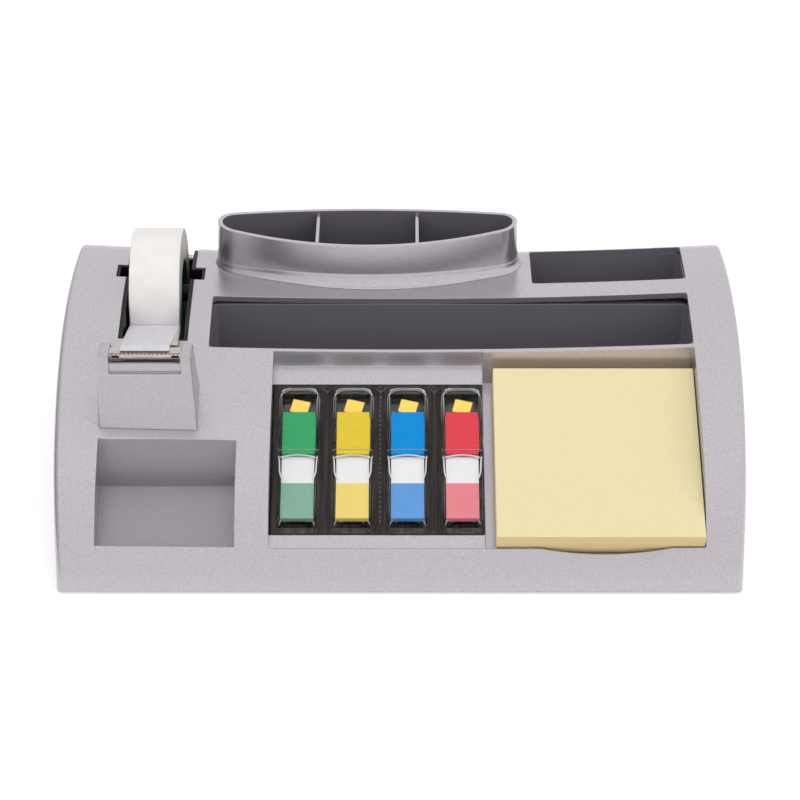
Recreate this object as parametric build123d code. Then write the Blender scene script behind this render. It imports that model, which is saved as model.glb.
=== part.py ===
from build123d import *
import os
from math import acos, atan2, cos, degrees, radians, sin, sqrt, tan

# Desk organizer with a tape station, pen cup, trays, note pad, index flags and a side drawer.
# Millimetres. X runs left to right, Y from front to back, Z up. The origin is the middle of the
# footprint on the desk. Every piece is drawn with the housing's bottom rim at Z 0 and is lifted
# by the height of the feet when it is written.

# ---- housing: an arch that is swept from left to right ----
widest_place = 0.606        # where the sides bulge most, as a share of the depth from the front
side_bow_radius = 1134.0    # plan curve of the two sides
front_radius = 61.5         # arch from the front edge to the shoulder
front_slope = 75.7          # degrees, at the front edge
shoulder_slope = 28.1       # degrees, where the flatter top arc takes over
rear_slope = -2.4           # degrees, where the rear edge begins to turn down
rear_radius = 17.0
crown_rise = 3.9            # how much higher the crest is at the ends than in the middle
wall = 2.2
edge_round = 2.0
foot_height = 1.2

# ---- clearances ----
fit_gap = 0.2               # between pieces that are fixed together
free_gap = 0.3              # between pieces that move apart
beyond = 12.0               # how far a cutting form reaches past what it cuts
axle_gap = 0.06             # radial, running fit of the tape hub

# ---- sloped recess for the pad and the flags ----
recess_lip = 6.0            # from the front edge to the lip
recess_back_lean = 1.5      # how far the rear wall leans back at its foot
recess_right = 17.7         # from the right side
pad_tilt = 24.4             # degrees
pad_size = 76.2
pad_height = 10.0
pad_side_gap = 0.3
pad_left_gap = 3.8
pad_rear_gap = 0.7
pad_lip_height = 4.2        # lip over the recess floor
flag_tilt = 27.1            # degrees
flag_ledge_front = 6.1      # ledges before and behind the flag tray
flag_ledge_back = 6.7
flag_seat_depth = 5.6
flag_gutter = 2.0           # bare strip at the right of the flag tray, left out of its width
flag_plane_drop = 0.6       # how far the flag plane starts below the lip
thumb_place = 37.1          # middle of the thumb notch, from the right end of the recess
thumb_radius = 185.0
thumb_depth = 2.6           # below the lip, at its inner face
thumb_slope = 53.0          # degrees, downwards to the front

# ---- flags: distances along the slope are counted from the lip of the recess ----
flag_count = 4
flag_pitch = 20.35
flag_cover_width = 15.4
flag_cover_ends = (7.4, 69.6)
flag_cover_corner = 4.6
flag_cover_height = 3.0
flag_cover_lift = 0.15      # over the flag plane
flag_cover_wall = 0.6
flag_cover_taper = 12.0     # degrees
flag_slot_ends = (38.6, 41.0)
flag_lip_bulge = 1.1        # the lower lip of the slot is curved
flag_rib_width = 0.8
flag_rib_height = 0.5
flag_rib_end = 28.0         # lower end of the two ribs beside the window
flag_mouth = (8.9, 2.3)     # opening at the lower end of the cover
flag_mouth_place = 2.2      # its middle, from that end
flag_width = 12.0
flag_ends = (11.8, 57.1)
flag_stack_height = 2.8
flag_film = 0.2
flag_tray_wall = 0.8
flag_trough_depth = 3.6
flag_trough_wall = 0.7

# ---- pockets with upright walls ----
pocket_floor = 31.0
pocket_draft = 1.5          # degrees
pocket_corner = 2.0
slot_wall = 2.4             # between the recess and the long slot
slot_depth = 30.5           # front to back
slot_right = 17.8           # from the right side
rear_tray_gap = 10.0        # behind the long slot
rear_tray_depth = 27.8
rear_tray_right = 17.4
rear_tray_back = 12.8       # from the rear wall
front_tray_left = 18.0      # from the left side
front_tray_width = 50.9
front_tray_lip = 6.2        # from the front edge
front_tray_depth = 30.3
front_tray_drop = 20.0      # height of its rear wall
front_tray_draft = 3.6      # degrees
front_tray_wall = 12.5      # between the front tray and the recess

# ---- pen cup ----
cup_half_length = 59.2
cup_half_depth = 17.1
cup_end_radius = 9.5        # of the tight arcs at the two ends of the oval
cup_back = 23.2             # middle of the cup, from the rear wall
cup_rim = 81.0
cup_rim_rise = 3.0          # how much the rim rises to its two ends
cup_draft = 2.0             # degrees
cup_wall = 1.8
cup_flare = 5.0
cup_flare_steps = 5
cup_divider_places = (-19.75, 19.55)
cup_divider_wall = 1.3
cup_divider_drop = 1.0
cup_tray_gap = 5.4          # between the cup and the rear tray

# ---- tape station ----
well_left = 21.9            # from the left side
well_width = 26.5
well_slot_gap = 8.2         # between the well and the long slot
well_floor = 29.0
well_rear_height = 58.6
liner_wall = 1.5
liner_ledge = 1.4           # rib across the rear wall
liner_ledge_height = 50.0
axis_back = 34.3            # roll axis, from the rear wall
axis_z = 57.8
roll_front_room = 18.3      # in the well, before and behind the roll
roll_rear_room = 2.9
notch_reach = 4.0           # notch beyond the well's side
axle_square = 7.2
axle_radius = 3.4
ear_wall = 1.0
tape_width = 19.5
tape_shift = -0.85          # the roll sits a little left of the middle of the well
roll_radius = 25.6
core_radius = 13.6
core_wall = 1.0
hub_width = 13.0
hub_wall = 1.6
tail_thickness = 0.3
tail_leave_angle = -2.5     # degrees from the horizontal, where the tail leaves the roll
tail_end_shift = 1.7        # the tail lies askew by this much at the blade

# ---- cutter block ----
block_tray_gap = 3.5        # behind the front tray
block_left = 19.3           # from the left side, at the top
block_width = 33.8
block_bottom = 34.0
block_top = 75.7
block_top_depth = 11.2
block_side_draft = 2.8      # degrees
block_rear_lean = 22.6      # degrees
block_wall = 1.8
block_edge = 0.7            # rounding of its upright edges
block_skirt_inset = 1.5     # the skirt that drops into the housing, inside the walls
block_skirt_step = 2.5      # its front, behind the front wall
block_skirt_reach = 4.0     # its rear, behind the rear edge of the top
block_plug_depth = 5.0      # how far it drops below the skin of the housing
post_width = 3.7
blade_notch_depth = 7.0
blade_width_gap = 0.15
blade_top_width = 3.9
blade_place = 7.5           # rear edge of the blade, behind the block's front
blade_height = 3.1
blade_thickness = 0.5
blade_tooth_pitch = 1.5
blade_tooth_height = 0.9

# ---- base, ballast and fastenings ----
base_thickness = 2.0
screw_side = 11.4           # from the nearest side
screw_front = 23.8
screw_back = 8.8
screw_radius = 1.5
screw_head_radius = 2.9
screw_head_height = 1.7
screw_length = 11.0
boss_radius = 3.6
foot_side = 22.0
foot_front = 13.8
foot_back = 13.8
foot_radius = 6.0
foot_recess = 0.8
ballast_left = 21.4
ballast_back = 19.8
ballast_size = (52.0, 92.0, 14.0)
ballast_rib = 1.6
ballast_rib_height = 6.0

# ---- drawer, in the right side ----
drawer_left = 6.0           # from the left end of the recess
drawer_front_edge = 27.3    # before the rear wall of the recess
drawer_back = 16.8          # from the rear wall
drawer_head_room = 2.5      # under the pockets
drawer_wall = 1.8
drawer_side_gap = 0.8       # beside the tub, so that it runs free in the mouth
drawer_front_gap = 3.2      # how far the tub ends before the inner face of the housing
drawer_pull_radius = 11.0
drawer_pull_drop = 6.0
runner_width = 2.0
runner_height = 5.0
drawer_stop_inset = 20.0    # how much shorter than the drawer its rear stop is, at each end

# ---- places that follow from the sizes above ----
recess_run = pad_size * cos(radians(pad_tilt)) + pad_rear_gap
flag_bay_width = flag_count * flag_pitch - flag_gutter
recess_width = flag_bay_width + pad_left_gap + pad_size + pad_side_gap
body_width = front_tray_left + front_tray_width + front_tray_wall + recess_width + recess_right
body_depth = (recess_lip + recess_run + slot_wall + slot_depth + rear_tray_gap
              + rear_tray_depth + rear_tray_back)
half_width = body_width / 2
half_depth = body_depth / 2
widest_y = body_depth * widest_place - half_depth

recess_front = recess_lip - half_depth
recess_back = recess_front + recess_run
recess_x = (half_width - recess_right - recess_width, half_width - recess_right)
flag_bay_right = recess_x[0] + flag_bay_width
flag_first_x = recess_x[0] + flag_pitch / 2
thumb_centre_x = recess_x[1] - thumb_place
slot_y = (recess_back + slot_wall, recess_back + slot_wall + slot_depth)
rear_tray_y = (half_depth - rear_tray_back - rear_tray_depth, half_depth - rear_tray_back)
front_tray_x = (front_tray_left - half_width, front_tray_left + front_tray_width - half_width)
front_tray_y = (front_tray_lip - half_depth, front_tray_lip + front_tray_depth - half_depth)
well_x = (well_left - half_width, well_left + well_width - half_width)
axis_y = half_depth - axis_back
well_y = (axis_y - roll_radius - roll_front_room, axis_y + roll_radius + roll_rear_room)
tape_centre_x = sum(well_x) / 2 + tape_shift
slot_x = (well_x[1] + well_slot_gap, half_width - slot_right)
cup_centre = (slot_x[0] + cup_half_length + 0.75, half_depth - cup_back)
rear_tray_x = (cup_centre[0] + cup_half_length + cup_tray_gap, half_width - rear_tray_right)
block_front = front_tray_y[1] + block_tray_gap
block_top_x = (block_left - half_width, block_left + block_width - half_width)
block_skirt_y = (
    block_front + block_wall + block_skirt_step,
    block_front + block_top_depth + block_skirt_reach,
)
blade_back = block_front + blade_place
ballast_x = (ballast_left - half_width, ballast_left + ballast_size[0] - half_width)
ballast_y = (half_depth - ballast_back - ballast_size[1], half_depth - ballast_back)
screw_x = half_width - screw_side
screw_places = (
    (-screw_x, screw_front - half_depth), (screw_x, screw_front - half_depth),
    (front_tray_x[1] + front_tray_wall / 2 - 1.0, screw_front - 6.0 - half_depth),
    (-screw_x, half_depth - screw_back), (screw_x, half_depth - screw_back),
    (slot_x[0] + screw_side, half_depth - screw_back),
)
foot_rows = (foot_front - half_depth, half_depth - foot_back)
foot_places = [(side * (half_width - foot_side), y) for side in (-1, 1) for y in foot_rows]
drawer_y = (recess_back - drawer_front_edge, half_depth - drawer_back)
drawer_back_x = recess_x[0] + drawer_left
drawer_height = pocket_floor - wall - base_thickness - free_gap - drawer_head_room


def slope_point(centre, radius, slope):
    """Point of an arc in the Y-Z plane where the arch has this slope in degrees."""
    return (centre[0] - radius * sin(radians(slope)), centre[1] + radius * cos(radians(slope)))


front_run = front_radius * (sin(radians(front_slope)) - sin(radians(shoulder_slope)))
rear_run = rear_radius * (1 + sin(radians(rear_slope)))
top_radius = (body_depth - front_run - rear_run) / (sin(radians(shoulder_slope)) - sin(radians(rear_slope)))
front_centre = (
    front_radius * sin(radians(front_slope)) - half_depth,
    -front_radius * cos(radians(front_slope)),
)
top_centre = slope_point(front_centre, front_radius - top_radius, shoulder_slope)
rear_centre = slope_point(top_centre, top_radius - rear_radius, rear_slope)
crest = top_centre[1] + top_radius


def arch_height(y, x=0.0, inset=0.0):
    """Height of the arch over a place in plan."""
    if y < slope_point(front_centre, front_radius, shoulder_slope)[0]:
        centre, radius = front_centre, front_radius
    elif y < rear_centre[0] - rear_radius * sin(radians(rear_slope)):
        centre, radius = top_centre, top_radius
    else:
        centre, radius = rear_centre, rear_radius
    level = centre[1] + sqrt((radius - inset) ** 2 - (y - centre[0]) ** 2)
    return level * (1 + crown_rise / crest * (x / half_width) ** 2)


def arch_section(inset, x):
    """Cross-section of the arch at x, drawn in the Y-Z plane."""
    radii = (front_radius - inset, top_radius - inset, rear_radius - inset)
    start = degrees(acos(-front_centre[1] / radii[0]))
    stops = (
        (front_centre, radii[0], start, shoulder_slope),
        (top_centre, radii[1], shoulder_slope, rear_slope),
        (rear_centre, radii[2], rear_slope, -90.0),
    )
    edges = []
    for centre, radius, first, last in stops:
        ends = [slope_point(centre, radius, s) for s in (first, (first + last) / 2, last)]
        edges.append(ThreePointArc(*[(0, y, z) for y, z in ends]))
    front_foot = edges[0] @ 0
    rear_top = edges[-1] @ 1
    rear_foot = Vector(0, rear_top.Y, 0)
    edges += [Line(rear_top, rear_foot), Line(rear_foot, front_foot)]
    section = make_face(Curve() + edges)
    stretch = 1 + crown_rise / crest * (x / half_width) ** 2
    return Pos(x, 0, 0) * scale(section, by=(1, 1, stretch))


def plan_outline(inset):
    """Outline of the body seen from above."""
    reach = half_depth + 5
    radius = side_bow_radius - inset
    widest = half_width - inset

    def side(y):
        return widest - radius + sqrt(radius ** 2 - (y - widest_y) ** 2)

    right = ThreePointArc((side(-reach), -reach), (widest, widest_y), (side(reach), reach))
    left = ThreePointArc((-side(reach), reach), (-widest, widest_y), (-side(-reach), -reach))
    return make_face(Curve() + [right, Line(right @ 1, left @ 0), left, Line(left @ 1, right @ 0)])


def arch_solid(inset=0.0):
    """The closed arch, drawn in by an inset on every side but the bottom."""
    reach = half_width + 4
    arch = loft([arch_section(inset, x) for x in (-reach, 0, reach)])
    return arch & extrude(plan_outline(inset), crest + 30)


def box(x, y, z):
    """Box from its low and high coordinates."""
    size = [high - low for low, high in (x, y, z)]
    middle = [(high + low) / 2 for low, high in (x, y, z)]
    return Pos(*middle) * Box(*size)


def grown(span, amount):
    return (span[0] - amount, span[1] + amount)


def tapered_pocket(x, y, z, grow=0.0):
    """Upright pocket whose walls draw in towards its floor."""
    draw = (z[1] - z[0]) * tan(radians(pocket_draft))
    faces = []
    for level, inset in ((z[0], draw), (z[1], 0.0)):
        across = x[1] - x[0] + 2 * (grow - inset)
        along = y[1] - y[0] + 2 * (grow - inset)
        corner = max(pocket_corner + grow - inset / 2, 0.6)
        faces.append(Pos(sum(x) / 2, sum(y) / 2, level) * RectangleRounded(across, along, corner))
    return loft(faces, ruled=True)


def prism(points, x):
    """Solid of a Y-Z outline between two x places."""
    outline = Polyline(*[(0, y, z) for y, z in points], close=True)
    return Pos(x[0], 0, 0) * extrude(make_face(outline), x[1] - x[0], dir=(1, 0, 0))


def rounded_arch():
    """Outer form of the housing with its long edges rounded."""
    form = arch_solid()
    rims = [edge for edge in form.edges() if abs(edge.center().X) > half_width - 10 and edge.center().Z > 5]
    return fillet(rims, edge_round)


arch = rounded_arch()
arch_inside = arch_solid(wall)
above = crest + crown_rise + beyond


# ---- sloped recess ----
lip_height = arch_height(recess_front, sum(recess_x) / 2)
recess_floor_front = lip_height - pad_lip_height


def sloped_level(start, y, tilt, drop):
    """Height of a slope that starts at the recess lip, less a drop square to the slope."""
    return start + (y - recess_front) * tan(radians(tilt)) - drop / cos(radians(tilt))


def recess_floor(y, drop=0.0):
    return sloped_level(recess_floor_front, y, pad_tilt, drop)


def flag_level(y, drop=0.0):
    return sloped_level(lip_height - flag_plane_drop, y, flag_tilt, drop)


def recess_outline(level, grow=0.0):
    """Y-Z outline of the recess over one of its two floors."""
    back_top = recess_back + grow
    back_foot = recess_back + recess_back_lean + grow
    front = recess_front - grow
    return [
        (front, above), (front, level(front, grow)), (back_foot, level(back_foot, grow)), (back_top, above),
    ]


def flag_place(x, along, height):
    """Location on the flag plane: x, distance up the slope from the lip, height over the plane."""
    return Pos(x, recess_front, flag_level(recess_front)) * Rot(flag_tilt, 0, 0) * Pos(0, along, height)


flag_slope_length = (recess_back - recess_front) / cos(radians(flag_tilt))
flag_seat = (flag_ledge_front, flag_slope_length - flag_ledge_back)
flag_bay = (recess_x[0], flag_bay_right)
pad_bay = (flag_bay_right, recess_x[1])


def recess_cut():
    pad_part = prism(recess_outline(recess_floor), pad_bay)
    flag_part = prism(recess_outline(flag_level), flag_bay)
    seat_length = flag_seat[1] - flag_seat[0]
    seat = flag_place(sum(flag_bay) / 2, sum(flag_seat) / 2, -flag_seat_depth / 2) * Box(
        flag_bay[1] - flag_bay[0], seat_length, flag_seat_depth)
    return pad_part + flag_part + seat


def recess_shell():
    deep = flag_seat_depth + wall

    def flag_underside(y, drop=0.0):
        return flag_level(y, deep)

    pad_part = prism(recess_outline(recess_floor, wall), grown(pad_bay, wall))
    flag_part = prism(recess_outline(flag_underside, wall), grown(flag_bay, wall))
    return pad_part + flag_part


def thumb_cut():
    """Shallow scoop through the lip that falls away to the front."""
    low = arch_height(recess_front, thumb_centre_x) - thumb_depth
    axis_up = Pos(thumb_centre_x, recess_front, low) * Rot(thumb_slope - 90, 0, 0)
    scoop = axis_up * Pos(0, -thumb_radius, 0) * Cylinder(thumb_radius, 2 * above)
    half_scoop = sqrt(2 * thumb_radius * thumb_depth) + 2
    reach = (recess_front - recess_lip - beyond, recess_front + wall)
    return scoop & box(grown((thumb_centre_x, thumb_centre_x), half_scoop), reach, (0, above))


def front_tray(grow=0.0):
    """Scoop-shaped tray: upright rear wall, floor that slopes to the front lip."""
    x, y = front_tray_x, front_tray_y
    draw = front_tray_drop * tan(radians(front_tray_draft))
    top = arch_height(y[1], sum(x) / 2)
    back = y[1] - draw
    floor_back = top - front_tray_drop
    front = y[0] + 0.6
    floor_front = floor_back + (front - back) * tan(radians(pad_tilt))
    under = grow / cos(radians(pad_tilt))
    outline = [
        (y[0] - grow, above), (y[0] - grow, arch_height(y[0]) - grow), (front - grow, floor_front - under),
        (back + grow, floor_back - under), (y[1] + grow, top), (y[1] + grow, above),
    ]
    return prism(outline, grown(x, grow))


def well_cut():
    """Tape well, its axle notches and the gap behind the roll."""
    depth = (well_floor - liner_wall, above)
    well = box(well_x, well_y, depth)
    notch_y = grown((axis_y, axis_y), axle_square / 2 + ear_wall + fit_gap)
    notches = box(grown(well_x, notch_reach), notch_y, (axis_z - axle_square / 2 - ear_wall, above))
    gap = box(well_x, (well_y[1] - 5, half_depth + 5), (well_rear_height, above))
    return well + notches + gap


def well_shell():
    depth = (well_floor - liner_wall - wall, above)
    bosses = box(grown(well_x, notch_reach + wall), grown((axis_y, axis_y), axle_square / 2 + ear_wall + wall),
                 (axis_z - axle_square / 2 - 6, above))
    return box(grown(well_x, wall), grown(well_y, wall), depth) + bosses


# ---- oval pen cup ----
def cup_oval(level, grow=0.0):
    """Oval of four tangent arcs at a height."""
    length = cup_half_length + 0.5 + grow
    depth = cup_half_depth + 0.5 + grow
    end = cup_end_radius + grow
    side = ((length - end) ** 2 + depth ** 2 - end ** 2) / (2 * (depth - end))
    reach = length - end
    lean = atan2(reach, side - depth)
    corner = (reach + end * sin(lean), end * cos(lean))
    arcs = []
    for flip in (1, -1):
        x, y = flip * corner[0], flip * corner[1]
        arcs.append(ThreePointArc((x, y), (0, flip * depth), (-x, y)))
        arcs.append(ThreePointArc((-x, y), (-flip * length, 0), (-x, -y)))
    return Pos(*cup_centre, level) * make_face(Curve() + arcs)


def cup_turn():
    """Height where the cup comes out of the housing and its walls begin to draw in."""
    return arch_height(cup_centre[1])


def oval_solid(low, high, grow=0.0):
    turn = cup_turn()
    lower = extrude(cup_oval(low, grow), turn - low)
    upper = extrude(cup_oval(turn, grow), high - turn, taper=cup_draft)
    return lower + upper


def pen_cup():
    turn = cup_turn()
    top = cup_rim + cup_rim_rise + 1
    outer = oval_solid(pocket_floor - cup_wall, top)
    foot = extrude(cup_oval(turn - 9, cup_flare), 8)
    rings = []
    for step in range(cup_flare_steps + 1):
        angle = radians(90 * step / cup_flare_steps)
        rings.append(cup_oval(turn - 1 + cup_flare * (1 - cos(angle)), cup_flare * (1 - sin(angle))))
    for lower, upper in zip(rings, rings[1:]):
        foot += loft([lower, upper], ruled=True)
    body = outer + (foot - arch)
    body -= oval_solid(pocket_floor, top + 1, -cup_wall)
    for place in cup_divider_places:
        x = cup_centre[0] + place
        plate = box(grown((x, x), cup_divider_wall / 2), grown((cup_centre[1], cup_centre[1]), cup_half_depth),
                    (pocket_floor - 0.5, cup_rim - cup_divider_drop))
        body += plate & oval_solid(pocket_floor - cup_wall / 2, top, -cup_wall / 2)
    bend = (cup_half_length ** 2 + cup_rim_rise ** 2) / (2 * cup_rim_rise)
    trim = Rot(90, 0, 0) * Cylinder(bend, 4 * cup_half_depth)
    return body - Pos(*cup_centre, cup_rim + bend) * trim


# ---- drawer ----
base_top = base_thickness
drawer_floor = base_top + free_gap
drawer_top = drawer_floor + drawer_height
side_inner = half_width - wall


def drawer_mouth(gap=0.0):
    return box((side_inner - 12, half_width + 5), grown(drawer_y, gap), (drawer_floor - gap, drawer_top + gap))


def drawer():
    x = (drawer_back_x, side_inner - drawer_front_gap)
    tub = box(x, grown(drawer_y, -drawer_side_gap), (drawer_floor, drawer_top - 1.2))
    inside = box(grown(x, -drawer_wall), grown(drawer_y, -drawer_side_gap - drawer_wall),
                 (drawer_floor + drawer_wall, above))
    tub = fillet(tub.edges().filter_by(Axis.Z), 3.0) - fillet(inside.edges().filter_by(Axis.Z), 2.0)
    return tub - pull_notch(x[1] - drawer_wall / 2, 4 * drawer_wall)


def pull_notch(x, length):
    """Finger notch in the top edge of the drawer's front."""
    middle = sum(drawer_y) / 2
    centre = drawer_top + drawer_pull_radius - drawer_pull_drop
    return Pos(x, middle, centre) * Rot(0, 90, 0) * Cylinder(drawer_pull_radius, length)


def drawer_front():
    """Curved front panel, flush with the side of the housing."""
    inner = side_inner - drawer_front_gap
    panel = arch & box((inner, half_width + 5), drawer_y, (drawer_floor, drawer_top))
    return panel - pull_notch(half_width, 2 * beyond)


# ---- base plate, ballast, screws and feet ----
def base_plate():
    inside = arch_solid(wall + fit_gap)
    plate = inside & box((-half_width, half_width), (-half_depth, half_depth), (0, base_top))
    for y, outward in ((drawer_y[0], -1), (drawer_y[1], 1)):
        inner = y - outward * (drawer_side_gap - free_gap)
        outer = inner + outward * runner_width
        plate += box((drawer_back_x, side_inner - 8), (min(inner, outer), max(inner, outer)),
                     (0, base_top + runner_height))
    stop_x = drawer_back_x - free_gap
    plate += box((stop_x - runner_width, stop_x), grown(drawer_y, -drawer_stop_inset), (0, base_top + runner_height))
    frame = box(grown(ballast_x, ballast_rib + fit_gap), grown(ballast_y, ballast_rib + fit_gap),
                (0, base_top + ballast_rib_height))
    plate += frame - box(grown(ballast_x, fit_gap), grown(ballast_y, fit_gap), (base_top, above))
    for x, y in screw_places:
        plate += Pos(x, y, base_top) * Cylinder(screw_head_radius + 2, base_top * 2) & inside
        plate -= Pos(x, y, 0) * Cylinder(screw_head_radius + 0.3, 2 * (screw_head_height + 0.3))
        plate -= Pos(x, y, 0) * Cylinder(screw_radius + 0.2, 20)
    for x, y in foot_places:
        plate -= Pos(x, y, 0) * Cylinder(foot_radius + 0.1, 2 * foot_recess)
    return plate


def ballast_weight():
    block = box(ballast_x, ballast_y, (base_top, base_top + ballast_size[2]))
    return chamfer(block.edges().group_by(Axis.Z)[-1], 1.0)


def base_screws():
    screws = []
    for x, y in screw_places:
        seat = screw_head_height + 0.3
        head = Pos(x, y, seat - screw_head_height / 2) * Cylinder(screw_head_radius, screw_head_height)
        head = chamfer(head.edges().group_by(Axis.Z)[0], 0.6)
        shank = Pos(x, y, seat + screw_length / 2) * Cylinder(screw_radius, screw_length)
        drive = Pos(x, y, seat - screw_head_height) * (Box(3.2, 0.7, 1.6) + Box(0.7, 3.2, 1.6))
        screws.append(head + shank - drive)
    return Compound(children=screws)


def feet():
    pads = []
    for x, y in foot_places:
        height = foot_height + foot_recess
        pad = Pos(x, y, foot_recess - height / 2) * Cylinder(foot_radius, height)
        pads.append(chamfer(pad.edges().group_by(Axis.Z)[0], 0.5))
    return Compound(children=pads)


def screw_bosses():
    foot = 2 * base_top
    upright = (Align.CENTER, Align.CENTER, Align.MIN)
    posts = [Pos(x, y, foot) * Cylinder(boss_radius, above - foot, align=upright) for x, y in screw_places]
    shape = posts[0]
    for post in posts[1:]:
        shape += post
    return shape


# ---- cutter block and blade ----
def block_body(inset=0.0, top=block_top):
    """Tower with drafted sides and a leaning rear wall."""
    faces = []
    for level in (block_bottom, top):
        drop = block_top - level
        side = drop * tan(radians(block_side_draft)) - inset
        x = (block_top_x[0] - side, block_top_x[1] + side)
        rear = block_front + block_top_depth + drop * tan(radians(block_rear_lean))
        y = (block_front + inset, rear - inset)
        outline = RectangleRounded(x[1] - x[0], y[1] - y[0], block_edge)
        faces.append(Pos(sum(x) / 2, sum(y) / 2, level) * outline)
    return loft(faces, ruled=True)


def block_opening(gap=0.0):
    """Hole in the housing that the block's skirt drops into."""
    x = grown(block_top_x, -block_wall - block_skirt_inset + gap)
    return box(x, grown(block_skirt_y, gap), (block_bottom, above))


blade_x = grown(block_top_x, -post_width)


def cutter_block():
    shell = block_body() - block_body(block_wall, block_top - block_wall)
    skirt_x = grown(block_top_x, -block_wall - block_skirt_inset)
    inner_skirt = box(skirt_x, block_skirt_y, (block_bottom + 2, block_top - blade_notch_depth - 2))
    inner_skirt -= box(grown(skirt_x, -block_wall), grown(block_skirt_y, -block_wall), (0, above))
    notch_floor = block_top - blade_notch_depth
    cut = box(blade_x, (block_front - 5, block_front + block_top_depth + 12), (notch_floor, above))
    shelf = box(grown(blade_x, 0.5), (block_front + 1.2, block_front + block_top_depth + 2),
                (notch_floor - block_wall, block_top - blade_height - 0.2))
    shelf &= block_body()
    body = shell - arch
    body = body - cut + shelf
    plug = inner_skirt & arch
    plug -= arch_solid(block_plug_depth)
    bridge = (inner_skirt - arch) & block_body()
    return body + plug + bridge


def cutter_blade():
    """Angle strip: flat top, upright front flange with two slots, teeth along the front edge."""
    x = grown(blade_x, -blade_width_gap)
    front = blade_back - blade_top_width
    top = box(x, (front, blade_back), (block_top - blade_thickness, block_top))
    face = box(x, (front, front + blade_thickness), (block_top - blade_height, block_top))
    blade = top + face
    for end, inward in ((x[0], 1), (x[1], -1)):
        middle = end + inward * 2.1
        blade -= box(grown((middle, middle), 1.4), (front - 1, front + 1), (block_top - 2.2, block_top - 1.2))
    count = int((x[1] - x[0]) / blade_tooth_pitch)
    start = (x[0] + x[1] - count * blade_tooth_pitch) / 2
    outline = [(x[0], 0)]
    for tooth in range(count):
        left = start + tooth * blade_tooth_pitch
        outline += [(left, 0), (left + blade_tooth_pitch / 2, -blade_tooth_height)]
    outline += [(start + count * blade_tooth_pitch, 0), (x[1], 0), (x[1], 0.6), (x[0], 0.6)]
    points = []
    for place in outline:
        if not points or points[-1] != place:
            points.append(place)
    teeth = extrude(make_face(Polyline(*[(px, py, 0) for px, py in points], close=True)), blade_thickness)
    return blade + Pos(0, front, block_top - blade_thickness) * teeth


# ---- tape ----
def along_x(radius, width, centre=None):
    place = Pos(tape_centre_x if centre is None else centre, axis_y, axis_z)
    return place * Rot(0, 90, 0) * Cylinder(radius, width)


def well_liner():
    """Black tub with an open-topped bearing on each side."""
    tub = box(grown(well_x, -fit_gap / 2), grown(well_y, -fit_gap / 2), (well_floor - liner_wall, above))
    ears = box(grown(well_x, notch_reach - fit_gap), grown((axis_y, axis_y), axle_square / 2 + ear_wall),
               (axis_z - axle_square / 2 - ear_wall + fit_gap, above))
    thickness = fit_gap / 2 + liner_wall
    hollow = box(grown(well_x, -thickness), grown(well_y, -thickness), (well_floor, above))
    slot_y_room = grown((axis_y, axis_y), axle_square / 2 + free_gap)
    slots = box(grown(well_x, notch_reach - fit_gap - ear_wall), slot_y_room,
                (axis_z - axle_square / 2 - free_gap, above))
    rear = box(grown(well_x, 5), (well_y[1] - 5, half_depth), (well_rear_height, above))
    ledge = box(grown(well_x, -liner_wall), (well_y[1] - liner_wall - liner_ledge, well_y[1] - liner_wall),
                (liner_ledge_height - liner_wall, liner_ledge_height))
    return (tub + ears - hollow - slots - rear + ledge) & arch_solid(0.5)


def roll_axle():
    length = well_x[1] - well_x[0] + 2 * (notch_reach - fit_gap - ear_wall - free_gap)
    middle = sum(well_x) / 2
    shaft = along_x(axle_radius, length, middle)
    end = 3.2
    for side in (-1, 1):
        x = middle + side * (length - end) / 2
        shaft += Pos(x, axis_y, axis_z) * Box(end, axle_square, axle_square)
    return shaft


def roll_hub():
    """Drum inside the core: rim, web with six ribs and a bored tube."""
    inner = core_radius - core_wall - hub_wall
    hub = along_x(core_radius - core_wall - 0.05, hub_width) - along_x(inner, hub_width + 2)
    hub += along_x(axle_radius + 1.6, hub_width + 3)
    hub += along_x(inner + 0.2, 1.6)
    rib_length = inner - axle_radius
    for turn in range(6):
        spoke = Pos(0, 0, axle_radius + 0.8 + rib_length / 2) * Box(hub_width - 2, 1.4, rib_length)
        hub += Pos(tape_centre_x, axis_y, axis_z) * Rot(60 * turn, 0, 0) * spoke
    return hub - along_x(axle_radius + axle_gap, hub_width + 10)


def tape_core():
    return along_x(core_radius, tape_width) - along_x(core_radius - core_wall, tape_width + 2)


def tape_roll():
    wound = along_x(roll_radius, tape_width)
    wound = chamfer(wound.edges().filter_by(GeomType.CIRCLE), 0.35)
    return wound - along_x(core_radius + 0.02, tape_width + 2)


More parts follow.
